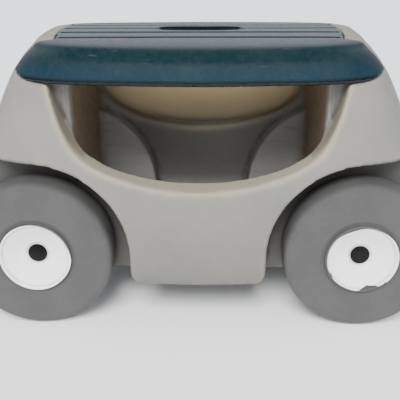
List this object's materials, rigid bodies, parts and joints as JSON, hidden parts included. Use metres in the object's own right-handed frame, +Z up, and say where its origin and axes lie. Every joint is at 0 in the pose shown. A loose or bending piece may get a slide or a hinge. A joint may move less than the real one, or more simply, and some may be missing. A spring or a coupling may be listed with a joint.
{
  "type": "rolling garden seat",
  "caption": "Low rolling garden work seat: a moulded tub on freely turning wheels, its tool bay open on one long side, under a slatted seat lid with a carry slot.",
  "frame": {"origin": "on the ground, under the middle of the tub", "axes": "+X along the tub to its front end, +Y to its left side, +Z up"},
  "size_m": [0.538, 0.295, 0.3179],
  "materials": {
    "tub_plastic": "moulded stone-coloured polyethylene, fine satin grain, light wear",
    "lid_plastic": "moulded blue-green polyethylene, satin, lightly scratched and chalked on top",
    "wheel_plastic": "mid-grey moulded plastic, matt, with a white painted hub dish",
    "axle_steel": "plain cold-drawn steel rod",
    "cap_plastic": "near-black plastic, slightly glossy",
    "spring_steel": "blackened spring steel",
    "spacer_nylon": "natural nylon",
    "screw_zinc": "zinc-plated"
  },
  "bodies": {
    "tub": {"tub_body": "tub_plastic", "seat_lid": "lid_plastic", "lid_screw_front_left": "screw_zinc", "lid_screw_front_right": "screw_zinc", "lid_screw_rear_left": "screw_zinc", "lid_screw_rear_right": "screw_zinc"},
    "front_axle": {"axle_front": "axle_steel", "wheel_spacer_front_left": "spacer_nylon", "push_nut_front_left": "spring_steel", "axle_cap_front_left": "cap_plastic", "wheel_spacer_front_right": "spacer_nylon", "push_nut_front_right": "spring_steel", "axle_cap_front_right": "cap_plastic"},
    "rear_axle": {"axle_rear": "axle_steel", "wheel_spacer_rear_left": "spacer_nylon", "push_nut_rear_left": "spring_steel", "axle_cap_rear_left": "cap_plastic", "wheel_spacer_rear_right": "spacer_nylon", "push_nut_rear_right": "spring_steel", "axle_cap_rear_right": "cap_plastic"},
    "front_left_wheel": {"wheel_front_left": "wheel_plastic"},
    "front_right_wheel": {"wheel_front_right": "wheel_plastic"},
    "rear_left_wheel": {"wheel_rear_left": "wheel_plastic"},
    "rear_right_wheel": {"wheel_rear_right": "wheel_plastic"}
  },
  "joints": [
    {"name": "front_axle_turn", "type": "hinge", "parent": "tub", "child": "front_axle", "pos_m": [0.182, 0, 0.087], "axis": [0, 1, 0], "continuous": true},
    {"name": "front_left_wheel_roll", "type": "hinge", "parent": "front_axle", "child": "front_left_wheel", "pos_m": [0.182, 0.122, 0.087], "axis": [0, 1, 0], "continuous": true},
    {"name": "front_right_wheel_roll", "type": "hinge", "parent": "front_axle", "child": "front_right_wheel", "pos_m": [0.182, -0.122, 0.087], "axis": [0, 1, 0], "continuous": true},
    {"name": "rear_axle_turn", "type": "hinge", "parent": "tub", "child": "rear_axle", "pos_m": [-0.182, 0, 0.087], "axis": [0, 1, 0], "continuous": true},
    {"name": "rear_left_wheel_roll", "type": "hinge", "parent": "rear_axle", "child": "rear_left_wheel", "pos_m": [-0.182, 0.122, 0.087], "axis": [0, 1, 0], "continuous": true},
    {"name": "rear_right_wheel_roll", "type": "hinge", "parent": "rear_axle", "child": "rear_right_wheel", "pos_m": [-0.182, -0.122, 0.087], "axis": [0, 1, 0], "continuous": true}
  ]
}
